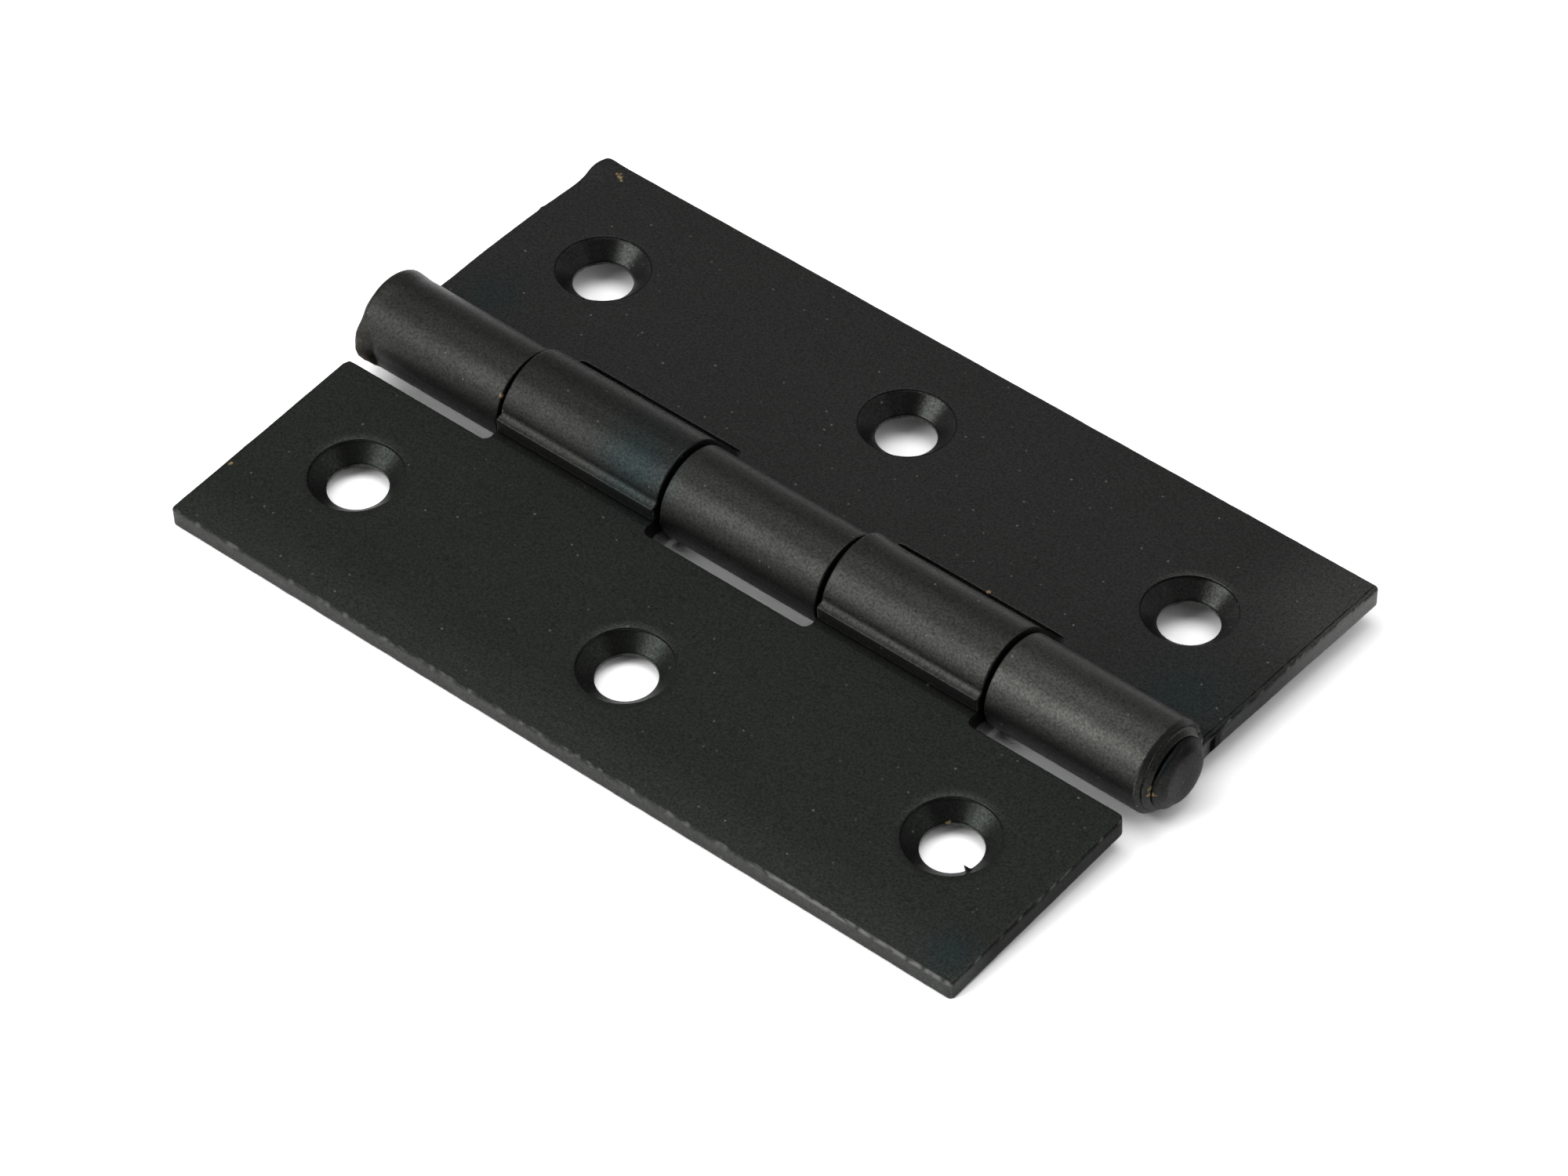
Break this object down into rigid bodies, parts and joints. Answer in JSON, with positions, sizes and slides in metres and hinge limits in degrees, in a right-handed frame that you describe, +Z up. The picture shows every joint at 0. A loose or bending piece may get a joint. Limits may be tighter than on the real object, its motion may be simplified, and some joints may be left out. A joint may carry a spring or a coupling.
{
  "type": "butt hinge",
  "caption": "Blackened steel butt hinge: two flat leaves with countersunk screw holes, rolled knuckles interlocked round a riveted pin, so a door or lid can swing.",
  "frame": {"origin": "under the middle of the pin, on the surface that the open hinge lies on", "axes": "+X along the pin, +Y towards the frame leaf, +Z up, the way the countersunk faces look"},
  "size_m": [0.0782, 0.0507, 0.0078],
  "materials": {
    "blackened_steel": "dark blackened and waxed mild steel, satin, with lighter sheared edges and fine pale specks",
    "pin_steel": "the same dark finish on the hammered pin ends, a little greyer"
  },
  "bodies": {
    "frame_side": {"frame_leaf": "blackened_steel", "hinge_pin": "pin_steel"},
    "door_side": {"door_leaf": "blackened_steel"}
  },
  "joints": [
    {"name": "leaf_swing", "type": "hinge", "parent": "frame_side", "child": "door_side", "pos_m": [0, 0, 0.00389], "axis": [-1, 0, 0], "range_deg": [-130, 184.51]}
  ]
}
